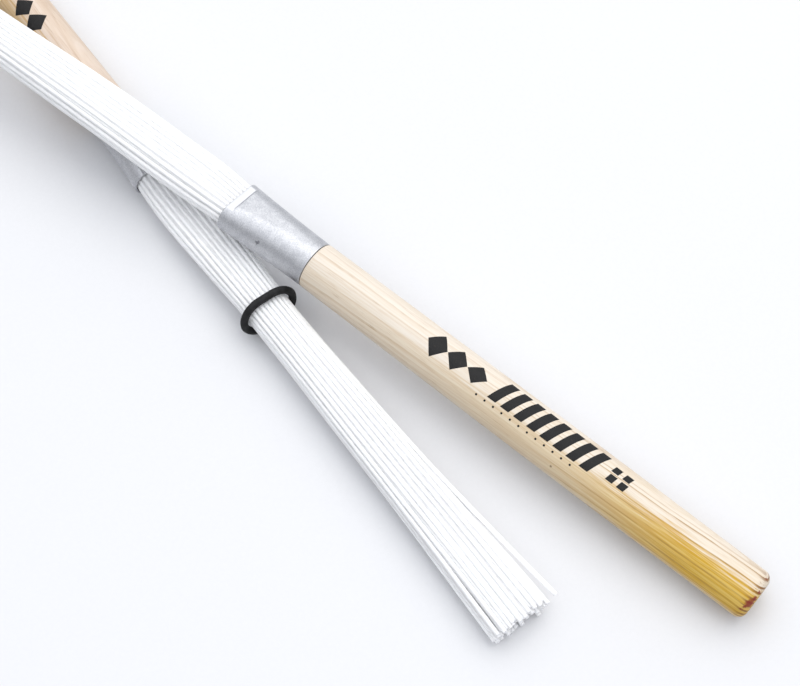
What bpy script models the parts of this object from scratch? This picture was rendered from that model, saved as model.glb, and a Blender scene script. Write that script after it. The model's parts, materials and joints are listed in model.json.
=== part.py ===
"""A pair of drum brushes with nylon filaments, lying crossed.

Each brush has a turned wooden handle, an aluminium ferrule that starts round and is pressed
flat at its mouth, a resin plug behind the filament roots, a bundle of nylon filaments and a
rubber ring that slides along the bundle. The lower brush lies level. The upper brush has its
butt on the table and its bundle over the lower ferrule, so it slopes up towards its tips.

Metres, +Z up. The origin is on the table, under the middle of the pair. +X runs along the
pair, towards the upper brush's butt and the lower brush's tips. Each brush is modelled
upright on its own +Z, from the butt at z = 0 to the tips, with the ferrule's flat sides facing
+Y and -Y, and an empty then lays it down.
"""
import math
import random

import bmesh
import bpy
from mathutils import Euler, Matrix, Vector

MM = 0.001
GAP = 0.3 * MM                      # clearance kept between neighbouring pieces

# Lengths along one brush
HANDLE_LENGTH = 168.5 * MM          # butt to the ferrule's near edge
FERRULE_LENGTH = 32.2 * MM
BRISTLE_LENGTH = 189.3 * MM         # ferrule mouth to the tips
MOUTH = HANDLE_LENGTH + FERRULE_LENGTH

# Turned handle
BUTT_RADIUS = 8.05 * MM
BELLY_RADIUS = 8.2 * MM             # thickest place, where the handle rests on the table
BELLY_HEIGHT = 70.0 * MM
NECK_RADIUS = 7.85 * MM             # at the ferrule
BUTT_ROUNDING = 3.0 * MM
NECK_CHAMFER = 0.15 * MM            # across; it is twice as long along the handle
FERRULE_SEAT = 0.15 * MM            # the wooden shoulder stops this far short of the ferrule
SWELL_STEPS = 5
ROUNDING_STEPS = 3
TENON_LENGTH = 12.0 * MM
TENON_FOOT_RADIUS = 6.75 * MM
TENON_TOP_RADIUS = 6.2 * MM
TENON_CHAMFER = 0.8 * MM

# Ferrule: its section is two half circles joined by flats, and the flats grow towards the mouth
FERRULE_WALL = 0.7 * MM
MOUTH_HALF_FLAT = 3.9 * MM
MOUTH_RADIUS = 5.6 * MM
TAPER_STEPS = 7                     # rings between the ferrule's near edge and its crimp
FLATTENING_POWER = 1.5
CRIMP_WIDTH = 2.9 * MM
CRIMP_STEP = 0.3 * MM               # length of the slope at the crimp's inner edge
CRIMP_DEPTH = 0.35 * MM

# Filaments
FILAMENT_RADIUS = 0.75 * MM
OUTER_FILAMENTS = 24                # those that can be seen; the core stands for the rest
ROOT_DEPTH = 16.0 * MM              # how far the filaments reach into the ferrule
PLUG_LENGTH = 3.0 * MM
TIP_UNEVENNESS = 1.2 * MM
CORE_SHORTFALL = 1.5 * MM           # the core ends this far short of the longest tips
CORE_CLEARANCE = 0.18 * MM          # between the core and the outer filaments
LONGEST_STRAIGHT = 30.0 * MM        # a longer stretch of a bundle gets a corner in its middle
TIP_MARGIN = 5.0 * MM               # no corner lies closer than this to the tips

# Rubber ring
CORD_RADIUS = 1.35 * MM
RING_CLEARANCE = 0.25 * MM

# Where the brushes cross, seen from above
CROSSING_ANGLE = math.radians(14.2)
LOWER_CROSSING = 190.8 * MM         # from the lower brush's butt
UPPER_CROSSING = 242.1 * MM         # from the upper brush's butt, measured in plan
UPPER_TILT = math.radians(3.17)
UPPER_ROLL = math.radians(13.3)     # the upper bundle's flat side lies on the lower brush

# Bundle envelopes: distance from the mouth, half width, half thickness, sag, sideways drift
ROOT_STATIONS = [
    (-16.0 * MM, 7.4 * MM, 6.0 * MM, 0.0, 0.0),
    (-3.0 * MM, 8.4 * MM, 4.3 * MM, 0.0, 0.0),
    (0.5 * MM, 8.5 * MM, 4.3 * MM, 0.0, 0.0),
]
LOWER_STATIONS = ROOT_STATIONS + [
    (8.0 * MM, 9.1 * MM, 4.6 * MM, 0.0, 0.0),
    (20.0 * MM, 9.3 * MM, 4.9 * MM, 0.0, -0.1 * MM),
    (42.0 * MM, 8.4 * MM, 5.1 * MM, 0.0, -0.2 * MM),
    (62.0 * MM, 7.3 * MM, 5.2 * MM, 0.0, -0.3 * MM),
    (110.0 * MM, 8.3 * MM, 4.9 * MM, 0.8 * MM, 0.2 * MM),
    (150.0 * MM, 9.1 * MM, 4.9 * MM, 1.8 * MM, 0.5 * MM),
    (BRISTLE_LENGTH, 10.1 * MM, 4.9 * MM, 3.1 * MM, 0.6 * MM),
]
UPPER_STATIONS = ROOT_STATIONS + [
    (8.0 * MM, 9.1 * MM, 4.8 * MM, 0.0, 0.0),
    (20.0 * MM, 9.5 * MM, 5.3 * MM, 0.0, 0.2 * MM),
    (60.0 * MM, 9.4 * MM, 5.4 * MM, 0.0, 1.3 * MM),
    (118.0 * MM, 8.2 * MM, 4.9 * MM, 0.4 * MM, 3.7 * MM),
    (150.0 * MM, 8.6 * MM, 5.0 * MM, 1.0 * MM, 5.0 * MM),
    (BRISTLE_LENGTH, 9.6 * MM, 5.4 * MM, 2.2 * MM, 6.4 * MM),
]
LOWER_RING_AT = 62.0 * MM
UPPER_RING_AT = 118.0 * MM
LOWER_RING_SKEW = Euler((math.radians(-9.0), math.radians(-1.0), 0.0))
UPPER_RING_SKEW = Euler((math.radians(4.0), math.radians(-5.0), 0.0))
STRAY_FILAMENT = 1                  # one lower filament stands away from the bundle's edge
STRAY_DISTANCE = 2.6 * MM
STRAY_FROM = 90.0 * MM

SECTION_SIDES = 32
CORE_SIDES = 24
SHARP_EDGE = math.radians(40)
LOWER_SEED = 3
UPPER_SEED = 8


# ---- collections, materials, placing

def clear_scene():
    for old in list(bpy.data.objects):
        bpy.data.objects.remove(old, do_unlink=True)


def make_collection(name):
    collection = bpy.data.collections.new(name)
    bpy.context.scene.collection.children.link(collection)
    return collection


def make_material(name, colour, roughness, metallic=0.0):
    material = bpy.data.materials.new(name)
    material.use_nodes = True
    shader = material.node_tree.nodes["Principled BSDF"]
    shader.inputs["Base Color"].default_value = (*colour, 1.0)
    shader.inputs["Roughness"].default_value = roughness
    shader.inputs["Metallic"].default_value = metallic
    material.diffuse_color = (*colour, 1.0)
    return material


def make_materials():
    return {
        "hickory": make_material("hickory", (0.86, 0.68, 0.44), 0.45),
        "aluminium": make_material("aluminium", (0.62, 0.64, 0.68), 0.35, 1.0),
        "resin": make_material("resin", (0.78, 0.66, 0.36), 0.30),
        "nylon": make_material("nylon", (0.93, 0.94, 0.96), 0.35),
        "rubber": make_material("rubber", (0.035, 0.035, 0.037), 0.65),
    }


def make_empty(name, collection, location, rotation=Euler(), parent=None):
    empty = bpy.data.objects.new(name, None)
    collection.objects.link(empty)
    empty.empty_display_size = 0.01
    empty.parent = parent
    empty.location = location
    empty.rotation_euler = rotation
    return empty


def add_part(name, data, material, collection, parent, location=(0, 0, 0)):
    part = bpy.data.objects.new(name, data)
    data.materials.append(material)
    collection.objects.link(part)
    part.parent = parent
    part.location = location
    return part


# ---- sections and lofts

def interpolate(stations, height):
    """Smooth values between stations, each a tuple that starts with its height."""
    heights = [station[0] for station in stations]
    height = min(max(height, heights[0]), heights[-1])
    last = len(stations) - 1
    index = min(max(i for i in range(last + 1) if heights[i] <= height), last - 1)
    span = heights[index + 1] - heights[index]
    t = (height - heights[index]) / span

    def slope(i, column):
        low = max(i - 1, 0)
        high = min(i + 1, last)
        return (stations[high][column] - stations[low][column]) / (heights[high] - heights[low])

    values = []
    for column in range(1, len(stations[0])):
        a = stations[index][column]
        b = stations[index + 1][column]
        start = slope(index, column) * span
        end = slope(index + 1, column) * span
        values.append(a * (2 * t**3 - 3 * t**2 + 1) + start * (t**3 - 2 * t**2 + t)
                      + b * (3 * t**2 - 2 * t**3) + end * (t**3 - t**2))
    return values


def section(half_flat, radius, sides):
    """Outline of two half circles joined by flats; no corner falls in the middle of a flat."""
    points = []
    for i in range(sides):
        angle = 2 * math.pi * (i + 0.5) / sides
        x = radius * math.cos(angle) + math.copysign(half_flat, math.cos(angle))
        points.append((x, radius * math.sin(angle)))
    return points


def point_round_section(half_flat, radius, fraction):
    """The point at a fraction of the way round a section, from its +X end."""
    quarter = math.pi * radius / 2
    walk = fraction % 1.0 * (4 * half_flat + 4 * quarter)
    for turn, flat_after in ((0, True), (1, False), (2, True), (3, False)):
        side = 1 if turn in (0, 3) else -1
        if walk <= quarter:
            angle = turn * math.pi / 2 + walk / radius
            return side * half_flat + radius * math.cos(angle), radius * math.sin(angle)
        walk -= quarter
        if flat_after:
            if walk <= 2 * half_flat:
                return side * (half_flat - walk), side * radius
            walk -= 2 * half_flat
    return half_flat + radius, 0.0


def loft(name, rings, capped):
    """A skin over rings of points, each ring one height above the one before."""
    bm = bmesh.new()
    loops = [[bm.verts.new(point) for point in ring] for ring in rings]
    count = len(loops[0])
    for lower, upper in zip(loops, loops[1:]):
        for i in range(count):
            j = (i + 1) % count
            bm.faces.new((lower[i], lower[j], upper[j], upper[i]))
    if capped:
        bm.faces.new(list(reversed(loops[0])))
        bm.faces.new(loops[-1])
    mesh = bpy.data.meshes.new(name)
    bm.to_mesh(mesh)
    bm.free()
    shade_round(mesh)
    return mesh


def shade_round(mesh):
    mesh.shade_smooth()
    mesh.set_sharp_from_angle(angle=SHARP_EDGE)


# ---- one brush

def handle_profile():
    """The handle's outline from the top of the tenon down to the butt."""
    shoulder = HANDLE_LENGTH - FERRULE_SEAT
    profile = [
        (0.0, HANDLE_LENGTH + TENON_LENGTH),
        (TENON_TOP_RADIUS - TENON_CHAMFER, HANDLE_LENGTH + TENON_LENGTH),
        (TENON_TOP_RADIUS, HANDLE_LENGTH + TENON_LENGTH - TENON_CHAMFER),
        (TENON_FOOT_RADIUS, shoulder),
        (NECK_RADIUS - NECK_CHAMFER, shoulder),
        (NECK_RADIUS, shoulder - 2 * NECK_CHAMFER),
    ]
    for i in range(1, SWELL_STEPS + 1):
        t = i / SWELL_STEPS
        height = shoulder + (BELLY_HEIGHT - shoulder) * t
        swell = math.sin(t * math.pi / 2)
        profile.append((NECK_RADIUS + (BELLY_RADIUS - NECK_RADIUS) * swell, height))
    profile.append((BUTT_RADIUS, BUTT_ROUNDING))
    for i in range(1, ROUNDING_STEPS + 1):
        angle = i / ROUNDING_STEPS * math.pi / 2
        profile.append((BUTT_RADIUS - BUTT_ROUNDING * (1 - math.cos(angle)),
                        BUTT_ROUNDING * (1 - math.sin(angle))))
    profile.append((0.0, 0.0))
    return profile


def make_handle(name, materials, collection, brush):
    mesh = bpy.data.meshes.new(name)
    profile = handle_profile()
    corners = [(radius, 0.0, height) for radius, height in profile]
    edges = [(i, i + 1) for i in range(len(corners) - 1)]
    mesh.from_pydata(corners, edges, [])
    handle = add_part(name, mesh, materials["hickory"], collection, brush)
    turning = handle.modifiers.new("turning", "SCREW")
    turning.axis = "Z"
    turning.steps = SECTION_SIDES
    turning.render_steps = SECTION_SIDES
    turning.use_merge_vertices = True
    turning.merge_threshold = 0.00001
    turning.use_smooth_shade = True
    return handle


def ferrule_section(height):
    """Half flat and radius of the ferrule's outside, at a height above its near edge."""
    flattened = max(height / FERRULE_LENGTH, 0.0) ** FLATTENING_POWER
    return MOUTH_HALF_FLAT * flattened, NECK_RADIUS + (MOUTH_RADIUS - NECK_RADIUS) * flattened


def make_ferrule(name, materials, collection, brush):
    crimp_start = FERRULE_LENGTH - CRIMP_WIDTH
    heights = [crimp_start * i / TAPER_STEPS for i in range(TAPER_STEPS + 1)]
    heights += [crimp_start + CRIMP_STEP, FERRULE_LENGTH]
    rings = []
    for height in heights:
        half_flat, radius = ferrule_section(height)
        pressed = radius - CRIMP_DEPTH if height > crimp_start else radius
        outline = section(half_flat, radius, SECTION_SIDES)
        rings.append([(x, min(max(y, -pressed), pressed), height) for x, y in outline])
    mesh = loft(name, rings, capped=False)
    ferrule = add_part(name, mesh, materials["aluminium"], collection, brush, (0, 0, HANDLE_LENGTH))
    wall = ferrule.modifiers.new("wall", "SOLIDIFY")
    wall.thickness = FERRULE_WALL
    wall.offset = -1
    wall.use_even_offset = True
    return ferrule


def make_resin_plug(name, materials, collection, brush):
    top = FERRULE_LENGTH - ROOT_DEPTH - GAP
    rings = []
    for height in (top - PLUG_LENGTH, top - PLUG_LENGTH / 2, top):
        half_flat, radius = ferrule_section(height)
        outline = section(half_flat, radius - FERRULE_WALL - GAP, SECTION_SIDES)
        rings.append([(x, y, height) for x, y in outline])
    mesh = loft(name, rings, capped=True)
    return add_part(name, mesh, materials["resin"], collection, brush, (0, 0, HANDLE_LENGTH))


def bundle_heights(stations, tip):
    """Heights above the mouth at which the bundle's pieces have a corner."""
    heights = [station[0] for station in stations if station[0] < tip - TIP_MARGIN]
    middles = [(a + b) / 2 for a, b in zip(heights, heights[1:]) if b - a > LONGEST_STRAIGHT]
    return sorted(heights + middles) + [tip]


def make_core(name, stations, materials, collection, hinge):
    """One solid for the filaments inside the outer layer."""
    layer = 2 * FILAMENT_RADIUS + CORE_CLEARANCE
    rings = []
    for height in bundle_heights(stations, BRISTLE_LENGTH - CORE_SHORTFALL):
        half_width, half_thickness, sag, drift = interpolate(stations, height)
        outline = section(half_width - half_thickness, half_thickness - layer, CORE_SIDES)
        rings.append([(x + drift, y - sag, height) for x, y in outline])
    mesh = loft(name, rings, capped=True)
    return add_part(name, mesh, materials["nylon"], collection, hinge)


def filament_route(stations, fraction, tip, stray):
    points = []
    for height in bundle_heights(stations, tip):
        half_width, half_thickness, sag, drift = interpolate(stations, height)
        x, y = point_round_section(half_width - half_thickness,
                                   half_thickness - FILAMENT_RADIUS, fraction)
        if stray and height > STRAY_FROM:
            x += STRAY_DISTANCE * ((height - STRAY_FROM) / (tip - STRAY_FROM)) ** 2
        points.append((x + drift, y - sag, height))
    return points


def make_filament(name, points, materials, collection, hinge):
    curve = bpy.data.curves.new(name, "CURVE")
    curve.dimensions = "3D"
    curve.bevel_depth = FILAMENT_RADIUS
    curve.bevel_resolution = 2
    curve.use_fill_caps = True
    spline = curve.splines.new("POLY")
    spline.points.add(len(points) - 1)
    for control, point in zip(spline.points, points):
        control.co = (*point, 1.0)
    return add_part(name, curve, materials["nylon"], collection, hinge)


def make_ring(name, stations, height, skew, materials, collection, hinge):
    """A round cord bent into a closed loop round the bundle, lying a little askew on it."""
    half_width, half_thickness, sag, drift = interpolate(stations, height)
    reach = RING_CLEARANCE + CORD_RADIUS
    half_flat = half_width / math.cos(skew.y) - half_thickness
    curve = bpy.data.curves.new(name, "CURVE")
    curve.dimensions = "3D"
    curve.bevel_depth = CORD_RADIUS
    curve.bevel_resolution = 3
    spline = curve.splines.new("POLY")
    spline.use_cyclic_u = True
    outline = [point_round_section(half_flat, half_thickness + reach, (i + 0.5) / SECTION_SIDES)
               for i in range(SECTION_SIDES)]
    spline.points.add(len(outline) - 1)
    for control, (x, y) in zip(spline.points, outline):
        control.co = (x, y, 0.0, 1.0)
    ring = add_part(name, curve, materials["rubber"], collection, hinge, (drift, -sag, height))
    ring.rotation_euler = skew
    return ring


def make_brush(prefix, stations, ring_at, ring_skew, seed, materials, collection, brush):
    make_handle(prefix + "_handle", materials, collection, brush)
    make_ferrule(prefix + "_ferrule", materials, collection, brush)
    make_resin_plug(prefix + "_resin_plug", materials, collection, brush)
    hinge = make_empty(prefix + "_bristle_hinge", collection, (0, 0, MOUTH), parent=brush)
    make_core(prefix + "_filament_core", stations, materials, collection, hinge)
    chance = random.Random(seed)
    for i in range(OUTER_FILAMENTS):
        tip = BRISTLE_LENGTH - chance.uniform(0, TIP_UNEVENNESS)
        stray = prefix == "lower" and i == STRAY_FILAMENT
        fraction = (i + 0.5) / OUTER_FILAMENTS
        points = filament_route(stations, fraction, tip, stray)
        make_filament(f"{prefix}_filament_{i + 1:02d}", points, materials, collection, hinge)
    make_ring(prefix + "_rubber_ring", stations, ring_at, ring_skew, materials, collection, hinge)


# ---- laying the brushes down

def laid_down(heading, tilt, roll):
    """Rotation that lays an upright brush with its tips towards a heading."""
    along = Vector((math.cos(heading) * math.cos(tilt), math.sin(heading) * math.cos(tilt),
                    math.sin(tilt)))
    across = along.cross(Vector((0, 0, 1))).normalized()
    flat_normal = across.cross(along)
    upright = Matrix((-across, flat_normal, along)).transposed()
    return (upright @ Matrix.Rotation(roll, 3, "Z")).to_euler(), along


def make_pair(materials, collection):
    pair = make_empty("pair", collection, (0, 0, 0))
    heading = -CROSSING_ANGLE / 2
    rotation, along = laid_down(heading, 0.0, 0.0)
    start = -LOWER_CROSSING * along
    start.z = BELLY_RADIUS
    lower = make_empty("lower_brush", collection, start, rotation, pair)
    make_brush("lower", LOWER_STATIONS, LOWER_RING_AT, LOWER_RING_SKEW, LOWER_SEED,
               materials, collection, lower)

    heading = math.pi + CROSSING_ANGLE / 2
    rotation, along = laid_down(heading, UPPER_TILT, UPPER_ROLL)
    start = -UPPER_CROSSING * Vector((math.cos(heading), math.sin(heading), 0.0))
    start.z = BUTT_RADIUS * math.cos(UPPER_TILT) - BUTT_ROUNDING * math.sin(UPPER_TILT)
    upper = make_empty("upper_brush", collection, start, rotation, pair)
    make_brush("upper", UPPER_STATIONS, UPPER_RING_AT, UPPER_RING_SKEW, UPPER_SEED,
               materials, collection, upper)
    return pair


def centre_on_origin(pair, collection):
    """Slides the pair on the table until the middle of its footprint is at the origin."""
    bpy.context.view_layer.update()
    depsgraph = bpy.context.evaluated_depsgraph_get()
    corners = []
    for part in collection.objects:
        if part.type == "EMPTY":
            continue
        evaluated = part.evaluated_get(depsgraph)
        mesh = evaluated.to_mesh()
        corners += [part.matrix_world @ vertex.co for vertex in mesh.vertices]
        evaluated.to_mesh_clear()
    for axis in (0, 1):
        values = [corner[axis] for corner in corners]
        pair.location[axis] = -(min(values) + max(values)) / 2
    bpy.context.view_layer.update()


def main():
    clear_scene()
    collection = make_collection("drum_brushes")
    pair = make_pair(make_materials(), collection)
    centre_on_origin(pair, collection)


main()
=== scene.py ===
"""The looks of a crossed pair of drum brushes with nylon filaments.

Every brush is built upright in its own frame, in metres: +Z from the butt to the tips, +Y out
of the ferrule's flat side, +X across the flat. brush_frame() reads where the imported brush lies
and laid() puts a piece there. Lengths, radii and bundle shapes repeat the solids' dimensions,
but for small clearances that are named below.
"""
import json
import math
import random

import bmesh
import bpy
from mathutils import Euler, Matrix, Vector


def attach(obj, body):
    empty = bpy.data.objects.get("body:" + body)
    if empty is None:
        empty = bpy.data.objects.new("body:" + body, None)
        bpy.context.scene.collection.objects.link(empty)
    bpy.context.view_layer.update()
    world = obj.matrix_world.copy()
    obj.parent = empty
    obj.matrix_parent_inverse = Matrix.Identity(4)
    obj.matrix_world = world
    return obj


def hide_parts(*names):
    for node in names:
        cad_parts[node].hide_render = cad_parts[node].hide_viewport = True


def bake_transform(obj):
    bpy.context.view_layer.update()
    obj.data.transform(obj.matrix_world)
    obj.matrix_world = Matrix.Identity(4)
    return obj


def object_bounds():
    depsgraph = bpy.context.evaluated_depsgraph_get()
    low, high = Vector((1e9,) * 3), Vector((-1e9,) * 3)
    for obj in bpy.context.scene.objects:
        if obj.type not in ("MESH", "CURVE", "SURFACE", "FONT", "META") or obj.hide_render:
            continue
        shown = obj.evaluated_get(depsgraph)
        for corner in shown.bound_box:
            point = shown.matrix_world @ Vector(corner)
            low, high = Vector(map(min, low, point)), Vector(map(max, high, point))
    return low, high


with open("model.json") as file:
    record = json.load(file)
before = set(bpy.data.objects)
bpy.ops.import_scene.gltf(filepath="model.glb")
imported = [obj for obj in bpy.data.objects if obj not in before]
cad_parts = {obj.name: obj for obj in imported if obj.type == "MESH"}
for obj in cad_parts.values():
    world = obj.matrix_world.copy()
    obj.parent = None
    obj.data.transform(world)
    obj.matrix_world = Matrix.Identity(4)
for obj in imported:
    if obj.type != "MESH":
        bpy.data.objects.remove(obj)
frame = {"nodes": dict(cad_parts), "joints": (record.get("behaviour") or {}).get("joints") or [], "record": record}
cad_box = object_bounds()

MM = 0.001
SIDES = ("lower", "upper")

# Lengths along one brush
HANDLE_LENGTH = 168.5 * MM
FERRULE_LENGTH = 32.2 * MM
BRISTLE_LENGTH = 189.3 * MM
MOUTH = HANDLE_LENGTH + FERRULE_LENGTH

# Turned handle
BUTT_RADIUS = 8.05 * MM
BELLY_RADIUS = 8.2 * MM
BELLY_HEIGHT = 70.0 * MM
NECK_RADIUS = 7.85 * MM
BUTT_ROUNDING = 3.0 * MM
NECK_CHAMFER = 0.32 * MM
FERRULE_SEAT = 0.15 * MM
SHOULDER = HANDLE_LENGTH - FERRULE_SEAT
TENON_TOP = HANDLE_LENGTH + 12.0 * MM
TENON_FOOT_RADIUS = 6.75 * MM
TENON_TOP_RADIUS = 6.2 * MM
TENON_CHAMFER = 0.8 * MM
HANDLE_SIDES = 128
HANDLE_STEP = 2.0 * MM
BUTT_STEPS = 14                     # rings round the butt's rounding
BUTT_RINGS = (4.0 * MM, 2.0 * MM, 1.0 * MM)     # rings on its flat end, in from the rounding

# Ferrule: two half circles joined by flats that grow towards the mouth
FERRULE_WALL = 0.7 * MM
MOUTH_HALF_FLAT = 3.9 * MM
MOUTH_RADIUS = 5.6 * MM
FLATTENING_POWER = 1.5
CRIMP_WIDTH = 2.9 * MM
CRIMP_STEP = 0.3 * MM
CRIMP_DEPTH = 0.35 * MM
FERRULE_SIDES = 240
FERRULE_STEP = 0.3 * MM
RIM_ROUNDING = 0.16 * MM
ROLL_STEPS = 5
INNER_STEPS = 24
NEAR_LIP = 0.22 * MM                # the ferrule's near edge is rolled in by this much
NICK_AT = (17.2 * MM, math.radians(21))     # height above the near edge, angle
NICK_SIZE = (0.75 * MM, 0.45 * MM)          # along, around
NICK_DEPTH = 0.28 * MM
NICK_SHARPNESS = 1.4

# Filaments
FILAMENT_RADIUS = 0.75 * MM
FILAMENT_SIDES = 12
FILAMENT_STEP = 4.0 * MM
OUTER_FILAMENTS = 24
ROOT_DEPTH = 16.0 * MM
LAYERS = (                          # share of the way out, count, stagger
    (1.0, OUTER_FILAMENTS, 0.5),
    (0.90, 24, 0.0),
    (0.46, 11, 0.5),
)
MIDDLE_ROW = 4
TIP_UNEVENNESS = 1.2 * MM
TIP_SEEDS = {"lower": 3, "upper": 8}
STRAND_SEEDS = {"lower": 21, "upper": 34}
END_BEVEL = 0.10 * MM
CUT_SLOPE = 0.25                    # how far from square a tip may be cut
PAST_TIP_UV = (0.5, 1.1)
WANDER_ROUND = 0.26 * MM            # how far a strand strays round its layer
WANDER_INWARD = 0.16 * MM
WANDER_MIDDLE = 0.2 * MM
SPLAY = 0.45 * MM
SPLAY_FROM = 120.0 * MM
LOOSE_FROM, LOOSE_AT = 2.0 * MM, 30.0 * MM      # strands come free over this stretch
GRIP_LENGTH = 14.0 * MM             # a ring holds the strands this far either side
GRIP = 0.8
HOLLOW_SHARE = 0.70                 # second-layer strands on the underside that end short
HOLLOW_DEPTH = 9.0 * MM
SWEEP_ROOM = 0.45 * MM              # lifts the upper underside clear of the ferrule it sweeps over
SWEEP_ROOM_START = (-4.0 * MM, 6.0 * MM)
SWEEP_ROOM_END = (75.0 * MM, 50.0 * MM)
UNDERSIDE = (0.55, 0.95)            # fractions of the way round the outer layer
SHORT_SHARE = 0.45                  # outer strands on the underside that end short
SHORT_BY = 3.5 * MM
STRAY_FILAMENT = 1
STRAY_DISTANCE = 4.2 * MM
STRAY_FROM = 90.0 * MM

# Bundle envelopes: distance from the mouth, half width, half thickness, sag, sideways drift
ROOT_STATIONS = [
    (-16.0 * MM, 7.4 * MM, 6.0 * MM, 0.0, 0.0),
    (-3.0 * MM, 8.4 * MM, 4.3 * MM, 0.0, 0.0),
    (0.5 * MM, 8.5 * MM, 4.3 * MM, 0.0, 0.0),
]
STATIONS = {
    "lower": ROOT_STATIONS + [
        (8.0 * MM, 9.1 * MM, 4.6 * MM, 0.0, 0.0),
        (20.0 * MM, 9.3 * MM, 4.9 * MM, 0.0, -0.1 * MM),
        (42.0 * MM, 8.4 * MM, 5.1 * MM, 0.0, -0.2 * MM),
        (62.0 * MM, 7.3 * MM, 5.2 * MM, 0.0, -0.3 * MM),
        (110.0 * MM, 8.3 * MM, 4.9 * MM, 0.8 * MM, 0.2 * MM),
        (150.0 * MM, 9.1 * MM, 4.9 * MM, 1.8 * MM, 0.5 * MM),
        (BRISTLE_LENGTH, 10.1 * MM, 4.9 * MM, 3.1 * MM, 0.6 * MM),
    ],
    "upper": ROOT_STATIONS + [
        (8.0 * MM, 9.1 * MM, 4.8 * MM, 0.0, 0.0),
        (20.0 * MM, 9.5 * MM, 5.3 * MM, 0.0, 0.2 * MM),
        (60.0 * MM, 9.4 * MM, 5.4 * MM, 0.0, 1.3 * MM),
        (118.0 * MM, 8.2 * MM, 4.9 * MM, 0.4 * MM, 3.7 * MM),
        (150.0 * MM, 8.6 * MM, 5.0 * MM, 1.0 * MM, 5.0 * MM),
        (BRISTLE_LENGTH, 9.6 * MM, 5.4 * MM, 2.2 * MM, 6.4 * MM),
    ],
}

# Rubber rings
RING_AT = {"lower": 62.0 * MM, "upper": 118.0 * MM}
RING_SKEW = {"lower": Euler((math.radians(-9.0), math.radians(-1.0), 0.0)),
             "upper": Euler((math.radians(4.0), math.radians(-5.0), 0.0))}
CORD_RADIUS = 1.35 * MM
RING_CLEARANCE = 0.35 * MM          # 0.1 more than the solids', so that a ring slides out freely
RING_STEPS = 120
CORD_SIDES = 28
SEAM_HEIGHT = 0.09 * MM             # the mould line round the ring's outside
SEAM_WIDTH = 0.16                   # as a share of the cord's radius

# Wood figure
LAYER_SLANT = (-0.64, 0.77)         # across the growth layers, along a handle's X and Y
RINGS_PER_MM = 0.60
KNOT_AT = (70.8 * MM, 13)           # height, degrees
STAINS = (                          # height, degrees, radius, size in millimetres
    (1.1 * MM, 36, 6.9 * MM, 1.55),
    (0.8 * MM, 52, 6.6 * MM, 0.95),
    (0.8 * MM, 72, 6.6 * MM, 0.65),
    (1.6 * MM, 24, 7.4 * MM, 0.75),
    (2.0 * MM, 14, 7.6 * MM, 0.55),
    (1.4 * MM, 110, 7.4 * MM, 0.4),
)

# Surroundings: brightest along this axis; cosine to the axis, from and to, and strength at each
SKY_AXIS = (0.0, 0.17, 0.985)
SKY_CLIMB = (0.08, 0.85, 0.27, 1.55)
SKY_COLOUR = (0.93, 0.95, 1.0, 1.0)
KEY_SIZE = (1.0, 1.0)
KEY_POWER = 4.6
KEY_COLOUR = (1.0, 0.97, 0.91)
KEY_FROM, KEY_TO = (0.0, 0.50, 1.10), (0.03, 0, 0)
FLOOR_HALF = 3.0
FLOOR_CELLS = 24

# Camera: X and Y from the lower brush's mouth, Z above the table
CAMERA_AT = (0.29296, -0.17324, 0.5440)
CAMERA_TARGET = (0.09526, 0.01666)
SENSOR_WIDTH = 36.0
FOCAL_LENGTH = 86.976

# Printed mark: where its middle line runs round the handle, and how far along it is moved
MARK_MIDDLE = {"lower": math.radians(110), "upper": math.radians(82)}
MARK_SHIFT = {"lower": 11.0 * MM, "upper": 0.5 * MM}
INK_THICKNESS = 0.03 * MM
CUT_TOLERANCE = 1e-5
# Its outlines, in millimetres along the handle from the butt and round it from the middle line
LOZENGES = 3
LOZENGE_AT, LOZENGE_PITCH, LOZENGE_AROUND = 119.6, 7.6, -0.5
LOZENGE_LENGTH, LOZENGE_HEIGHT, LOZENGE_SHRINK = 7.4, 9.2, 1.2
BARS = 8
BAR_AT, BAR_PITCH, BAR_WIDTH = 94.8, 4.9, 3.1
BAR_LOW, BAR_HIGH, BAR_SLANT = -4.2, 4.8, -3.2
DOTS = 12
DOT_AT, DOT_PITCH, DOT_AROUND, DOT_RADIUS = 101.0, 3.2, -5.6, 0.36
BLOCK_AT, BLOCK_WIDTH, BLOCK_LOW, BLOCK_HIGH, BLOCK_SLANT = 48.6, 2.5, -2.6, -0.2, -0.5
BLOCK_PITCH = (4.0, 3.2)
CUTS_AROUND = [step / 2 for step in range(-18, 18)]
CUTS_ALONG = [2 * step for step in range(24, 65)]


# ---- placing

def brush_frame(side):
    """The matrix that lays a brush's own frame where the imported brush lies."""
    record = frame["record"]
    butt = next(m for m in record["mounts"] if m["name"] == side + "_butt_end")
    sweep = next(j for j in frame["joints"] if j["name"] == side + "_bristle_sweep")
    along = -Vector(butt["axis"]).normalized()
    normal = Vector(sweep["axis"]).normalized()
    if normal.z < 0:
        normal.negate()
    across = normal.cross(along).normalized()
    normal = along.cross(across)
    turned = Matrix((across, normal, along)).transposed().to_4x4()
    return Matrix.Translation(Vector(butt["pos_m"])) @ turned


def laid(name, bm, material, side, smooth_angle=math.radians(35)):
    """Turns a bmesh in a brush's own frame into an object that lies where the brush lies."""
    mesh = bpy.data.meshes.new(name)
    bm.to_mesh(mesh)
    bm.free()
    mesh.shade_smooth()
    mesh.set_sharp_from_angle(angle=smooth_angle)
    mesh.materials.append(material)
    piece = bpy.data.objects.new(name, mesh)
    bpy.context.scene.collection.objects.link(piece)
    piece.matrix_world = brush_frame(side)
    bpy.context.view_layer.update()
    return piece


# ---- sections

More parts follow.
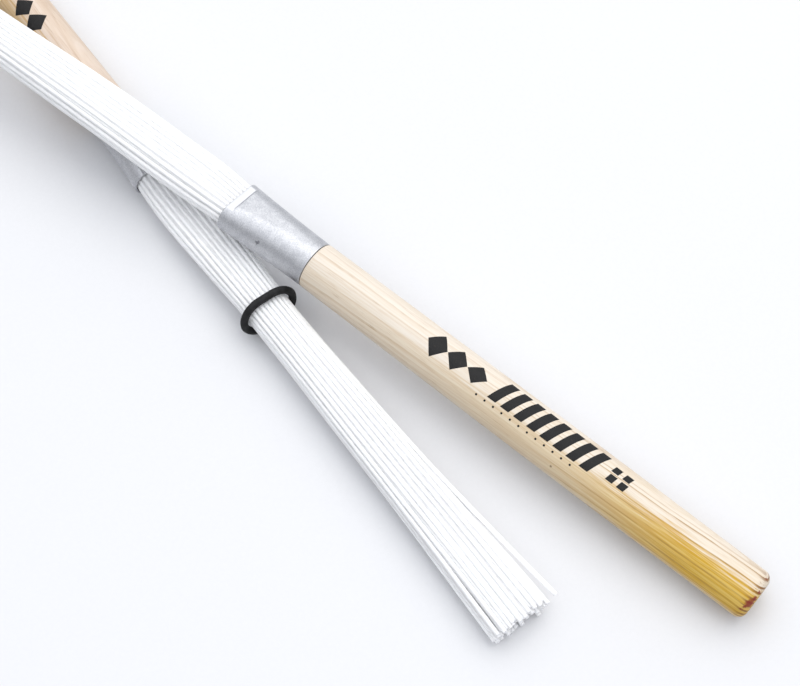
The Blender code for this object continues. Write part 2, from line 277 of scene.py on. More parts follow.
def interpolate(stations, height):
    """Smooth values between stations, each a tuple that starts with its height."""
    heights = [station[0] for station in stations]
    height = min(max(height, heights[0]), heights[-1])
    last = len(stations) - 1
    index = min(max(i for i in range(last + 1) if heights[i] <= height), last - 1)
    span = heights[index + 1] - heights[index]
    t = (height - heights[index]) / span

    def slope(i, column):
        low = max(i - 1, 0)
        high = min(i + 1, last)
        return (stations[high][column] - stations[low][column]) / (heights[high] - heights[low])

    values = []
    for column in range(1, len(stations[0])):
        a = stations[index][column]
        b = stations[index + 1][column]
        start = slope(index, column) * span
        end = slope(index + 1, column) * span
        values.append(a * (2 * t**3 - 3 * t**2 + 1) + start * (t**3 - 2 * t**2 + t)
                      + b * (3 * t**2 - 2 * t**3) + end * (t**3 - t**2))
    return values


def section(half_flat, radius, sides):
    """Outline of two half circles joined by flats; no corner falls in the middle of a flat."""
    points = []
    for i in range(sides):
        angle = 2 * math.pi * (i + 0.5) / sides
        x = radius * math.cos(angle) + math.copysign(half_flat, math.cos(angle))
        points.append((x, radius * math.sin(angle)))
    return points


def point_round_section(half_flat, radius, fraction):
    """The point at a fraction of the way round a section, from its +X end."""
    quarter = math.pi * radius / 2
    walk = fraction % 1.0 * (4 * half_flat + 4 * quarter)
    for turn, flat_after in ((0, True), (1, False), (2, True), (3, False)):
        side = 1 if turn in (0, 3) else -1
        if walk <= quarter:
            angle = turn * math.pi / 2 + walk / radius
            return side * half_flat + radius * math.cos(angle), radius * math.sin(angle)
        walk -= quarter
        if flat_after:
            if walk <= 2 * half_flat:
                return side * (half_flat - walk), side * radius
            walk -= 2 * half_flat
    return half_flat + radius, 0.0


def loft_rings(bm, rings, closed_tube=False):
    """Quads between rings of points; returns the rings' vertices."""
    loops = [[bm.verts.new(point) for point in ring] for ring in rings]
    pairs = list(zip(loops, loops[1:]))
    if closed_tube:
        pairs.append((loops[-1], loops[0]))
    count = len(loops[0])
    for lower, upper in pairs:
        for i in range(count):
            j = (i + 1) % count
            bm.faces.new((lower[i], lower[j], upper[j], upper[i]))
    return loops


def smoothstep(low, high, value):
    t = min(max((value - low) / (high - low), 0.0), 1.0)
    return t * t * (3 - 2 * t)


# ---- handle

def handle_radius(height):
    """The turned handle's radius between its butt rounding and the ferrule."""
    if height >= BELLY_HEIGHT:
        swell = math.sin((SHOULDER - height) / (SHOULDER - BELLY_HEIGHT) * math.pi / 2)
        return NECK_RADIUS + (BELLY_RADIUS - NECK_RADIUS) * swell
    swell = math.sin((height - BUTT_ROUNDING) / (BELLY_HEIGHT - BUTT_ROUNDING) * math.pi / 2)
    return BUTT_RADIUS + (BELLY_RADIUS - BUTT_RADIUS) * swell


def handle_profile():
    """Radius and height from the middle of the butt up to the middle of the tenon's end."""
    profile = [(BUTT_RADIUS - BUTT_ROUNDING - inset, 0.0) for inset in BUTT_RINGS]
    for i in range(BUTT_STEPS + 1):
        angle = i / BUTT_STEPS * math.pi / 2
        profile.append((BUTT_RADIUS - BUTT_ROUNDING * (1 - math.sin(angle)),
                        BUTT_ROUNDING * (1 - math.cos(angle))))
    straight = SHOULDER - 2 * NECK_CHAMFER - BUTT_ROUNDING
    count = round(straight / HANDLE_STEP)
    for i in range(1, count + 1):
        height = BUTT_ROUNDING + straight * i / count
        profile.append((handle_radius(height), height))
    profile += [
        (NECK_RADIUS - 0.3 * NECK_CHAMFER, SHOULDER - 0.6 * NECK_CHAMFER),
        (NECK_RADIUS - NECK_CHAMFER, SHOULDER),
        (TENON_FOOT_RADIUS, SHOULDER),
        (TENON_TOP_RADIUS, TENON_TOP - TENON_CHAMFER),
        (TENON_TOP_RADIUS - TENON_CHAMFER, TENON_TOP),
    ]
    return profile


def make_handle(side, material):
    bm = bmesh.new()
    rings = []
    for radius, height in handle_profile():
        rings.append([(radius * math.cos(2 * math.pi * i / HANDLE_SIDES),
                       radius * math.sin(2 * math.pi * i / HANDLE_SIDES), height)
                      for i in range(HANDLE_SIDES)])
    loops = loft_rings(bm, rings)
    bm.faces.new(list(reversed(loops[0])))
    bm.faces.new(loops[-1])
    handle = laid(side + "_turned_handle", bm, material, side)
    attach(handle, side + "_brush")
    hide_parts(side + "_handle")


# ---- printed mark

def slanted_bar(start, width, low, high, slant):
    """A parallelogram: start and width run along the handle, low and high round it."""
    return [(start, low), (start + width, low),
            (start + width + slant, high), (start + slant, high)]


def lozenge(middle, around, length, height):
    return [(middle - length / 2, around), (middle, around - height / 2),
            (middle + length / 2, around), (middle, around + height / 2)]


def disc(middle, around, radius, sides=16):
    return [(middle + radius * math.cos(2 * math.pi * i / sides),
             around + radius * math.sin(2 * math.pi * i / sides)) for i in range(sides)]


def mark_outlines():
    """A plain pattern of lozenges, slanted bars, dots and small blocks, all in millimetres."""
    outlines = []
    for i in range(LOZENGES):
        outlines.append(lozenge(LOZENGE_AT - LOZENGE_PITCH * i, LOZENGE_AROUND, LOZENGE_LENGTH,
                                LOZENGE_HEIGHT - LOZENGE_SHRINK * i))
    for i in range(BARS):
        outlines.append(slanted_bar(BAR_AT - BAR_PITCH * i, BAR_WIDTH, BAR_LOW, BAR_HIGH, BAR_SLANT))
    for i in range(DOTS):
        outlines.append(disc(DOT_AT - DOT_PITCH * i, DOT_AROUND, DOT_RADIUS))
    for row in range(2):
        for column in range(2):
            around = BLOCK_PITCH[1] * column
            outlines.append(slanted_bar(BLOCK_AT + BLOCK_PITCH[0] * row, BLOCK_WIDTH,
                                        around + BLOCK_LOW, around + BLOCK_HIGH, BLOCK_SLANT))
    return outlines


def cut_into_strips(bm, normal, places):
    """Cuts the faces by planes square to normal, at each of the places along it."""
    for place in places:
        geometry = bm.verts[:] + bm.edges[:] + bm.faces[:]
        bmesh.ops.bisect_plane(bm, geom=geometry, plane_co=Vector(normal) * place,
                               plane_no=normal, dist=CUT_TOLERANCE)


def make_printed_mark(side, material):
    """Thin ink that follows the handle: each outline is cut into strips and bent round it."""
    bm = bmesh.new()
    for outline in mark_outlines():
        corners = [bm.verts.new((along, around, 0.0)) for along, around in outline]
        bm.faces.new(corners)
    cut_into_strips(bm, (0, 1, 0), CUTS_AROUND)
    cut_into_strips(bm, (1, 0, 0), CUTS_ALONG)
    bmesh.ops.recalc_face_normals(bm, faces=bm.faces[:])
    top = bmesh.ops.extrude_face_region(bm, geom=bm.faces[:])
    raised = {v for v in top["geom"] if isinstance(v, bmesh.types.BMVert)}
    for vertex in bm.verts:
        height = vertex.co.x * MM + MARK_SHIFT[side]
        lift = INK_THICKNESS if vertex in raised else -INK_THICKNESS
        radius = handle_radius(height)
        angle = MARK_MIDDLE[side] + vertex.co.y * MM / radius
        vertex.co = ((radius + lift) * math.cos(angle), (radius + lift) * math.sin(angle), height)
    bmesh.ops.recalc_face_normals(bm, faces=bm.faces[:])
    mark = laid(side + "_printed_mark", bm, material, side)
    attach(mark, side + "_brush")


# ---- ferrule

def ferrule_section(height):
    """Half flat and radius of the ferrule's outside, at a height above its near edge."""
    flattened = max(height / FERRULE_LENGTH, 0.0) ** FLATTENING_POWER
    return MOUTH_HALF_FLAT * flattened, NECK_RADIUS + (MOUTH_RADIUS - NECK_RADIUS) * flattened


def ferrule_ring(height, inset):
    """One ring of the ferrule, set in from its outside, with the crimp and the nick pressed in."""
    half_flat, radius = ferrule_section(height)
    crimp_start = FERRULE_LENGTH - CRIMP_WIDTH
    pressing = CRIMP_DEPTH * smoothstep(crimp_start, crimp_start + CRIMP_STEP, height)
    pressed = radius - pressing
    ring = []
    for x, y in section(half_flat, radius, FERRULE_SIDES):
        y = min(max(y, -pressed), pressed)
        angle = math.atan2(y, x)
        around = (angle - NICK_AT[1]) * radius / NICK_SIZE[1]
        along = (height - NICK_AT[0]) / NICK_SIZE[0]
        depth = inset + NICK_DEPTH * math.exp(-(around**2 + along**2) * NICK_SHARPNESS)
        outward = Vector((x - math.copysign(min(abs(x), half_flat), x), y)).normalized()
        ring.append((x - outward.x * depth, y - outward.y * depth, height + HANDLE_LENGTH))
    return ring


def ferrule_heights():
    crimp_start = FERRULE_LENGTH - CRIMP_WIDTH
    count = round(crimp_start / FERRULE_STEP)
    heights = [NEAR_LIP + (crimp_start - NEAR_LIP) * i / count for i in range(count + 1)]
    heights += [crimp_start + CRIMP_STEP * t for t in (0.2, 0.4, 0.6, 0.8, 1.0)]
    start = crimp_start + CRIMP_STEP
    end = FERRULE_LENGTH - RIM_ROUNDING
    heights += [start + (end - start) * t for t in (0.05, 0.25, 0.5, 0.75, 1.0)]
    return heights


def make_ferrule(side, material):
    bm = bmesh.new()
    inside = bm.verts.layers.float.new("inside")
    rings = []
    for i in range(ROLL_STEPS):
        angle = i / ROLL_STEPS * math.pi / 2
        rings.append(ferrule_ring(NEAR_LIP * (1 - math.cos(angle)),
                                  NEAR_LIP * (1 - math.sin(angle))))
    rings += [ferrule_ring(height, 0.0) for height in ferrule_heights()]
    for i in range(1, ROLL_STEPS + 1):
        angle = i / ROLL_STEPS * math.pi / 2
        rings.append(ferrule_ring(FERRULE_LENGTH - RIM_ROUNDING * (1 - math.sin(angle)),
                                  RIM_ROUNDING * (1 - math.cos(angle))))
    inner = [ferrule_ring(FERRULE_LENGTH * (1 - i / INNER_STEPS), FERRULE_WALL)
             for i in range(INNER_STEPS + 1)]
    rings += inner
    loops = loft_rings(bm, rings, closed_tube=True)
    # The inner wall is marked so that the material can paint the shade inside the ferrule.
    for loop in loops[-len(inner) + 1:]:
        for vertex in loop:
            vertex[inside] = 1.0
    ferrule = laid(side + "_pressed_ferrule", bm, material, side, math.radians(50))
    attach(ferrule, side + "_brush")
    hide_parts(side + "_ferrule")


# ---- filaments

class Wander:
    """A smooth random sideways wander along a filament: a few slow waves of its own."""

    def __init__(self, chance):
        self.waves = [(chance.uniform(-1, 1) / k, k * chance.uniform(0.8, 1.2),
                       chance.uniform(0, 2 * math.pi)) for k in (1, 2, 3)]

    def at(self, share):
        return sum(size * math.sin(2 * math.pi * turns * share + phase)
                   for size, turns, phase in self.waves) / 1.5


def filament_heights(tip):
    count = round((tip + ROOT_DEPTH) / FILAMENT_STEP)
    return [-ROOT_DEPTH + (tip + ROOT_DEPTH) * i / count for i in range(count + 1)]


def loose(side, height):
    """How free a filament is to leave its place: tight at the mouth and ring, free at the tips."""
    at_ring = math.exp(-((height - RING_AT[side]) / GRIP_LENGTH) ** 2)
    return smoothstep(LOOSE_FROM, LOOSE_AT, height) * (1 - GRIP * at_ring)


def filament_path(side, share, fraction, tip, chance, stray=False):
    """Points along one filament. share 1 is the outer layer, 0 the middle row."""
    across = Wander(chance)
    inward = Wander(chance)
    splay = chance.uniform(-1, 1) * SPLAY
    points = []
    for height in filament_heights(tip):
        half_width, half_thickness, sag, drift = interpolate(STATIONS[side], height)
        half_flat = half_width - half_thickness
        free = loose(side, height)
        radius = (half_thickness - FILAMENT_RADIUS) * share
        along = (height + ROOT_DEPTH) / (BRISTLE_LENGTH + ROOT_DEPTH)
        if share > 0:
            girth = 4 * half_flat + 2 * math.pi * radius
            shift = WANDER_ROUND * across.at(along) * free
            radius -= WANDER_INWARD * (1 + inward.at(along)) * free
            x, y = point_round_section(half_flat, radius, fraction + shift / girth)
        else:
            x = half_flat * (2 * fraction - 1) + WANDER_MIDDLE * across.at(along) * free
            y = WANDER_MIDDLE * inward.at(along) * free
        x += splay * smoothstep(SPLAY_FROM, BRISTLE_LENGTH, height)
        if stray and height > STRAY_FROM:
            x += STRAY_DISTANCE * ((height - STRAY_FROM) / (tip - STRAY_FROM)) ** 2
        if side == "upper" and y < 0:
            start = smoothstep(*SWEEP_ROOM_START, height)
            y += SWEEP_ROOM * start * smoothstep(*SWEEP_ROOM_END, height)
        points.append(Vector((x + drift, y - sag, height + MOUTH)))
    return points


def strand_rings(points, chance):
    """Circles square to the strand at each point, the last one bevelled and cut a little askew."""
    cut_slope = chance.uniform(-CUT_SLOPE, CUT_SLOPE), chance.uniform(-CUT_SLOPE, CUT_SLOPE)
    rings = []
    for index, point in enumerate(points):
        before = points[max(index - 1, 0)]
        after = points[min(index + 1, len(points) - 1)]
        tangent = (after - before).normalized()
        side_way = Vector((0, 1, 0)).cross(tangent).normalized()
        up_way = tangent.cross(side_way)
        is_tip = index == len(points) - 1
        radii = [FILAMENT_RADIUS]
        if is_tip:
            radii = [FILAMENT_RADIUS, FILAMENT_RADIUS - END_BEVEL]
        for row, radius in enumerate(radii):
            ring = []
            for i in range(FILAMENT_SIDES):
                angle = 2 * math.pi * i / FILAMENT_SIDES
                offset = side_way * (radius * math.cos(angle)) + up_way * (radius * math.sin(angle))
                rise = 0.0
                if is_tip:
                    rise = offset.x * cut_slope[0] + offset.y * cut_slope[1] - END_BEVEL * (1 - row)
                ring.append(point + offset + tangent * rise)
            rings.append(ring)
    return rings


def unroll_strand(bm, loops, end):
    """UVs: once round the strand across, and its length upward; the cut end lies past the tip."""
    uv_layer = bm.loops.layers.uv.verify()
    for row, (lower, upper) in enumerate(zip(loops, loops[1:])):
        for i in range(FILAMENT_SIDES):
            j = (i + 1) % FILAMENT_SIDES
            for face in lower[i].link_faces:
                if upper[j] in face.verts and lower[j] in face.verts:
                    for corner in face.loops:
                        around = i if corner.vert in (lower[i], upper[i]) else i + 1
                        level = row if corner.vert in (lower[i], lower[j]) else row + 1
                        corner[uv_layer].uv = (around / FILAMENT_SIDES,
                                               level * FILAMENT_STEP / BRISTLE_LENGTH)
    for corner in end.loops:
        corner[uv_layer].uv = PAST_TIP_UV


def add_filament(bm, points, shade, chance):
    """A round strand along the points. Its shade and its cut end are marked for the material."""
    bm.loops.layers.uv.verify()
    shade_layer = bm.verts.layers.float.get("shade") or bm.verts.layers.float.new("shade")
    cut_layer = bm.verts.layers.float.get("cut") or bm.verts.layers.float.new("cut")
    loops = loft_rings(bm, strand_rings(points, chance))
    for loop in loops:
        for vertex in loop:
            vertex[shade_layer] = shade
    bm.faces.new(list(reversed(loops[0])))
    end = bm.faces.new(loops[-1])
    for vertex in loops[-1]:
        vertex[cut_layer] = 1.0
    unroll_strand(bm, loops, end)


def blend_at_mouth(piece, side):
    """Bakes the piece's placing into its mesh."""
    place = brush_frame(side)
    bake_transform(piece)


def make_outer_strands(side, material, chance):
    """One piece for each of the solids' outer filaments."""
    lengths = random.Random(TIP_SEEDS[side])
    share, count, stagger = LAYERS[0]
    for i in range(count):
        tip = BRISTLE_LENGTH - lengths.uniform(0, TIP_UNEVENNESS)
        if UNDERSIDE[0] < i / count < UNDERSIDE[1] and chance.random() < SHORT_SHARE:
            tip -= SHORT_BY * chance.uniform(0.5, 1.0)
        stray = side == "lower" and i == STRAY_FILAMENT
        path = filament_path(side, share, (i + stagger) / count, tip, chance, stray)
        bm = bmesh.new()
        add_filament(bm, path, chance.random(), chance)
        strand = laid(f"{side}_strand_{i + 1:02d}", bm, material, side, math.radians(60))
        blend_at_mouth(strand, side)
        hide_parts(f"{side}_filament_{i + 1:02d}")


def make_inner_strands(side, material, chance):
    """The strands that the solids' core stands for, as one piece."""
    places = [(share, (i + stagger) / count) for share, count, stagger in LAYERS[1:]
              for i in range(count)]
    places += [(0.0, (i + 0.5) / MIDDLE_ROW) for i in range(MIDDLE_ROW)]
    bm = bmesh.new()
    for share, fraction in places:
        tip = BRISTLE_LENGTH - chance.uniform(0.2, 1.6) * TIP_UNEVENNESS
        in_second_layer = share == LAYERS[1][0]
        if in_second_layer and fraction > 0.5 and chance.random() < HOLLOW_SHARE:
            tip -= HOLLOW_DEPTH * chance.uniform(0.5, 1.0)
        add_filament(bm, filament_path(side, share, fraction, tip, chance), chance.random(), chance)
    inner = laid(side + "_inner_strands", bm, material, side, math.radians(60))
    blend_at_mouth(inner, side)
    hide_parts(side + "_filament_core")


# ---- rubber ring

def make_ring(side, material):
    """A moulded cord round the bundle, slightly squared where it is stretched over the strands."""
    half_width, half_thickness, sag, drift = interpolate(STATIONS[side], RING_AT[side])
    skew = RING_SKEW[side]
    reach = RING_CLEARANCE + CORD_RADIUS
    half_flat = half_width / math.cos(skew.y) - half_thickness
    lean = Matrix.Translation((drift, -sag, MOUTH + RING_AT[side])) @ skew.to_matrix().to_4x4()
    route = [Vector((*point_round_section(half_flat, half_thickness + reach, i / RING_STEPS), 0.0))
             for i in range(RING_STEPS)]
    bm = bmesh.new()
    rings = []
    for i, point in enumerate(route):
        tangent = (route[(i + 1) % RING_STEPS] - route[i - 1]).normalized()
        outward = tangent.cross(Vector((0, 0, 1)))
        ring = []
        for k in range(CORD_SIDES):
            angle = 2 * math.pi * k / CORD_SIDES
            seam = SEAM_HEIGHT * math.exp(-(math.sin(angle) / SEAM_WIDTH) ** 2)
            radius = CORD_RADIUS - SEAM_HEIGHT + (seam if math.cos(angle) > 0 else 0.0)
            offset = outward * (radius * math.cos(angle)) + Vector((0, 0, radius * math.sin(angle)))
            ring.append(lean @ (point + offset))
        rings.append(ring)
    loft_rings(bm, rings, closed_tube=True)
    bmesh.ops.recalc_face_normals(bm, faces=bm.faces[:])
    ring_piece = laid(side + "_stretched_ring", bm, material, side, math.radians(70))
    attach(ring_piece, side + "_ring")
    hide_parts(side + "_rubber_ring")


# ---- materials

class Graph:
    """Short names for the shader nodes used here. Values may be numbers, tuples or sockets."""

    def __init__(self, name):
        self.material = bpy.data.materials.new(name)
        self.material.use_nodes = True
        self.tree = self.material.node_tree
        self.shader = self.tree.nodes["Principled BSDF"]

    def add(self, kind, **settings):
        node = self.tree.nodes.new("ShaderNode" + kind)
        for key, value in settings.items():
            setattr(node, key, value)
        return node

    def put(self, socket, value):
        if isinstance(value, bpy.types.NodeSocket):
            self.tree.links.new(value, socket)
        elif isinstance(value, tuple) and len(value) == 3 and socket.type == "RGBA":
            socket.default_value = (*value, 1.0)
        else:
            socket.default_value = value

    def finish(self, **values):
        for key, value in values.items():
            self.put(self.shader.inputs[key.replace("_", " ")], value)
        return self.material

    def place(self):
        """Object coordinates in millimetres, so a piece carries its pattern along."""
        coordinates = self.add("TexCoord").outputs["Object"]
        return self.stretched(coordinates, (1 / MM, 1 / MM, 1 / MM))

    def stretched(self, vector, scale):
        node = self.add("Mapping", vector_type="POINT")
        self.put(node.inputs["Vector"], vector)
        self.put(node.inputs["Scale"], scale)
        return node.outputs["Vector"]

    def sheet(self, depth, height, squeeze):
        """A vector that runs with the growth layers: across them, and slowly along the wood."""
        node = self.add("CombineXYZ")
        self.put(node.inputs[0], depth)
        self.put(node.inputs[1], self.times(height, squeeze))
        return node.outputs[0]

    def axes(self, vector):
        node = self.add("SeparateXYZ")
        self.put(node.inputs[0], vector)
        return node.outputs[0], node.outputs[1], node.outputs[2]

    def math(self, operation, *values):
        node = self.add("Math", operation=operation)
        for socket, value in zip(node.inputs, values):
            self.put(socket, value)
        return node.outputs[0]

    def sum(self, a, b):
        return self.math("ADD", a, b)

    def less(self, a, b):
        return self.math("SUBTRACT", a, b)

    def times(self, a, b):
        return self.math("MULTIPLY", a, b)

    def noise(self, vector, scale, detail=2.0, roughness=0.5, seed=0.0):
        node = self.add("TexNoise", noise_dimensions="4D")
        self.put(node.inputs["Vector"], vector)
        self.put(node.inputs["W"], seed)
        self.put(node.inputs["Scale"], scale)
        self.put(node.inputs["Detail"], detail)
        self.put(node.inputs["Roughness"], roughness)
        return node.outputs["Fac"]

    def rise(self, value, low, high, start=0.0, end=1.0):
        """Smoothly from start to end as value goes from low to high."""
        node = self.add("MapRange", interpolation_type="SMOOTHSTEP")
        for name, item in (("Value", value), ("From Min", low), ("From Max", high),
                           ("To Min", start), ("To Max", end)):
            self.put(node.inputs[name], item)
        return node.outputs["Result"]

    def mix(self, share, a, b, blend="MIX"):
        node = self.add("Mix", data_type="RGBA", blend_type=blend, clamp_factor=True)
        self.put(node.inputs["Factor"], share)
        self.put(node.inputs[6], a)
        self.put(node.inputs[7], b)
        return node.outputs[2]

    def bump(self, height, strength, distance):
        node = self.add("Bump")
        self.put(node.inputs["Height"], height)
        node.inputs["Strength"].default_value = strength
        node.inputs["Distance"].default_value = distance
        return node.outputs["Normal"]

    def distance(self, vector, point):
        node = self.add("VectorMath", operation="DISTANCE")
        self.put(node.inputs[0], vector)
        self.put(node.inputs[1], point)
        return node.outputs["Value"]


def on_handle(height, degrees, radius):
    """A point in or on the handle, in millimetres."""
    angle = math.radians(degrees)
    return (radius * math.cos(angle) / MM, radius * math.sin(angle) / MM, height / MM)


class Grain:
    """A handle's figure, in millimetres: growth layers that lie slanting across the wood."""

    def __init__(self, g, seed, mirror):
        self.place = g.place()
        x, y, z = g.axes(self.place)
        x = g.times(x, mirror)
        sway = g.noise(g.stretched(self.place, (0.06, 0.06, 0.009)), 1.0, 2.0, 0.5, seed)
        across = g.sum(g.times(x, LAYER_SLANT[0]), g.times(y, LAYER_SLANT[1]))
        depth = g.sum(g.sum(across, g.times(z, 0.038)), g.times(sway, 5.0))
        layers = g.sheet(depth, z, 0.006)
        wide = g.noise(g.sheet(depth, z, 0.004), 0.35, 1.0, 0.5, seed + 3.0)
        ring = g.math("FRACT", g.times(g.sum(depth, g.times(wide, 3.0)), RINGS_PER_MM))
        growth = g.times(g.rise(ring, 0.45, 0.94), g.rise(ring, 0.955, 1.0, 1.0, 0.0))
        strength = g.noise(layers, 1.1, 2.0, 0.6, seed + 9.0)
        self.z = z
        self.straight = g.sum(across, g.times(z, 0.010))
        self.line = g.times(growth, g.rise(strength, 0.32, 0.68, 0.25, 1.0))
        self.streaks = g.noise(g.sheet(depth, z, 0.022), 1.9, 4.0, 0.62, seed + 1.3)
        self.dashes = g.noise(g.stretched(self.place, (2.6, 2.6, 0.085)), 1.0, 3.0, 0.62, seed + 2.1)
        self.pores = g.noise(g.stretched(self.place, (5.2, 5.2, 0.17)), 1.0, 1.0, 0.5, seed + 4.7)


def sapwood(g, grain):
    """Pale wood, a little creamier near the butt, with soft brown growth lines."""
    warmth = g.rise(grain.z, 10.0, 150.0)
    cream = g.mix(warmth, (0.80, 0.680, 0.520), (0.82, 0.725, 0.600))
    pale = g.mix(warmth, (0.86, 0.765, 0.640), (0.865, 0.787, 0.682))
    colour = g.mix(g.rise(grain.streaks, 0.40, 0.62), pale, cream)
    contrast = g.rise(grain.z, 30.0, 120.0, 0.62, 0.34)
    colour = g.mix(g.times(grain.line, contrast), colour, (0.60, 0.435, 0.270))
    return g.mix(g.times(g.rise(grain.dashes, 0.52, 0.70), 0.38), colour, (0.63, 0.465, 0.320))


def add_heartwood(g, grain, colour, heart):
    """Streaky yellow heart on one side, with a feathered edge, fading away from the butt, and paler towards the
    handle's near side as painted light.
    """
    z, straight, streaks = grain.z, grain.straight, grain.streaks
    feather = g.sum(g.times(streaks, 8.0),
                    g.sum(g.times(grain.dashes, 4.0), g.times(grain.line, 2.0)))
    far_edge = g.rise(z, 0.0, 130.0, -1.9 + heart, -3.0 + heart)
    inside = g.less(g.sum(far_edge, feather), straight)
    fade = g.sum(g.rise(z, 16.0, 76.0, 0.58, 0.0),
                 g.rise(z, 20.0, 168.0, 0.42, 0.10 + 0.3 * heart))
    # Painted light: the yellow is paler towards the handle's near side, standing in for the table's light on that
    # side; near the butt at least half of it stays.
    near_edge = g.rise(g.sum(straight, g.times(streaks, 3.0)), -6.0, -3.6, 0.35, 1.0)
    near_edge = g.math("MAXIMUM", near_edge, g.rise(z, 6.0, 30.0, 0.5, 0.0))
    share = g.times(g.times(g.rise(inside, -1.0, 2.2), fade), near_edge)
    yellow = g.mix(g.rise(streaks, 0.40, 0.58), (0.78, 0.540, 0.130), (0.66, 0.375, 0.026))
    return g.mix(share, colour, yellow)


def add_red_stains(g, grain, colour):
    """Small ragged stains round the butt's rim, and a knot further up."""
    warped = g.add("VectorMath", operation="ADD")
    jitter = g.add("TexNoise")
    g.put(jitter.inputs["Vector"], grain.place)
    g.put(jitter.inputs["Scale"], 1.6)
    g.put(warped.inputs[0], grain.place)
    g.put(warped.inputs[1], jitter.outputs["Color"])
    for height, degrees, radius, size in STAINS:
        point = tuple(value + 0.5 for value in on_handle(height, degrees, radius))
        near = g.rise(g.distance(warped.outputs[0], point), size * 0.55, size * 1.25, 1.0, 0.0)
        colour = g.mix(g.times(near, 0.92), colour, (0.27, 0.030, 0.020))
    knot = g.distance(grain.place, on_handle(*KNOT_AT, BELLY_RADIUS))
    return g.mix(g.rise(knot, 0.15, 0.55, 0.8, 0.0), colour, (0.16, 0.085, 0.03))


def wood_material(name, seed, heart, mirror=1.0):
    """Pale hickory. heart moves the yellow heart's edge out; mirror -1 turns the figure over."""
    g = Graph(name)
    grain = Grain(g, seed, mirror)
    z, line, dashes = grain.z, grain.line, grain.dashes
    colour = add_heartwood(g, grain, sapwood(g, grain), heart)
    brown_line = g.times(g.rise(line, 0.30, 0.85), g.rise(dashes, 0.36, 0.56))
    browner = g.times(brown_line, g.rise(z, 20.0, 100.0, 0.70, 0.15))
    colour = g.mix(browner, colour, (0.40, 0.230, 0.075))
    dots = g.times(g.rise(grain.pores, 0.62, 0.74), g.rise(line, 0.05, 0.5, 0.35, 1.0))
    colour = g.mix(g.times(dots, 0.55), colour, (0.36, 0.215, 0.095))
    end_grain = g.rise(z, 0.4, 4.6, 1.0, 0.0)
    ends = g.times(end_grain, g.rise(g.sum(line, g.times(dashes, 0.6)), 0.28, 0.54))
    colour = g.mix(g.times(ends, 0.88), colour, (0.25, 0.105, 0.030))
    if heart > 0.0:
        colour = g.mix(1.0, colour, (0.90, 0.83, 0.80), "MULTIPLY")
    else:
        colour = add_red_stains(g, grain, colour)
    colour = g.mix(1.0, colour, (0.855, 0.855, 0.855), "MULTIPLY")
    roughness = g.rise(g.sum(dashes, grain.pores), 0.7, 1.4, 0.50, 0.64)
    relief = g.sum(g.times(dashes, 0.5), g.sum(g.times(dots, -0.8), g.times(line, -0.3)))
    return g.finish(Base_Color=colour, Roughness=roughness, Normal=g.bump(relief, 0.35, 0.00006),
                    Specular_IOR_Level=0.28)


def ink_material():
    """Screen-printed ink that has sunk a little into the wood's pores."""
    g = Graph("printed_ink")
    place = g.place()
    worn = g.noise(g.stretched(place, (6.0, 6.0, 0.5)), 1.0, 2.0, 0.6, 3.0)
    mottle = g.noise(place, 2.5, 3.0, 0.6, 5.0)
    colour = g.mix(g.rise(mottle, 0.3, 0.7), (0.010, 0.010, 0.010), (0.020, 0.019, 0.019))
    colour = g.mix(g.times(g.rise(worn, 0.66, 0.78), 0.6), colour, (0.16, 0.11, 0.07))
    return g.finish(Base_Color=colour, Roughness=g.rise(mottle, 0.3, 0.7, 0.50, 0.65),
                    Normal=g.bump(worn, 0.2, 0.00003), Specular_IOR_Level=0.2)


